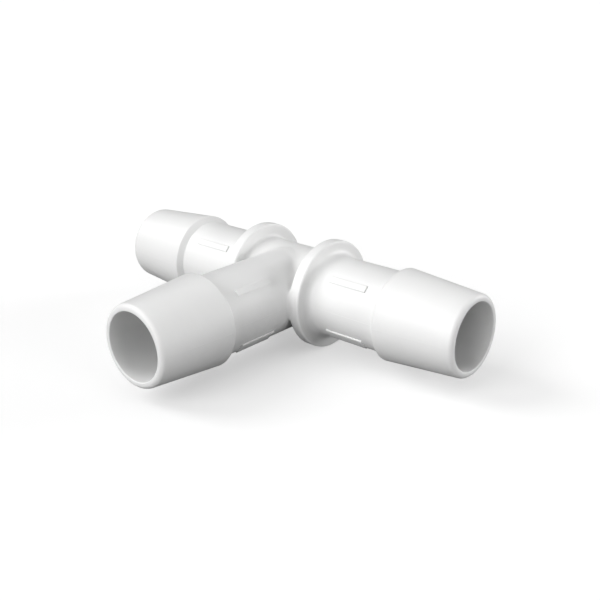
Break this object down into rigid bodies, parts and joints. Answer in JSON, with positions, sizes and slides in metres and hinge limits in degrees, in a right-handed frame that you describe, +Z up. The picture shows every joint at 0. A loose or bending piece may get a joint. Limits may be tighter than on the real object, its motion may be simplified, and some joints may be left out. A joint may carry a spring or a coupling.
{
  "type": "barbed hose tee fitting",
  "caption": "Equal hose tee in one moulding: three long single barbs on plain shanks, two round collars beside the branch, open bores that meet in the hub.",
  "frame": {"origin": "centre of the fitting's box: mid-run in X, on the plane of the three bore axes in Z, with the run's axis 18.8 mm behind it in Y", "axes": "+X along the run, -Y out of the branch, +Z up, square to the plane of the three bores"},
  "size_m": [0.101, 0.0634, 0.0258],
  "materials": {
    "moulding": "satin natural white nylon, as moulded"
  },
  "bodies": {
    "root": {"hub": "moulding", "right_spigot": "moulding", "left_spigot": "moulding", "branch_spigot": "moulding"}
  },
  "joints": []
}
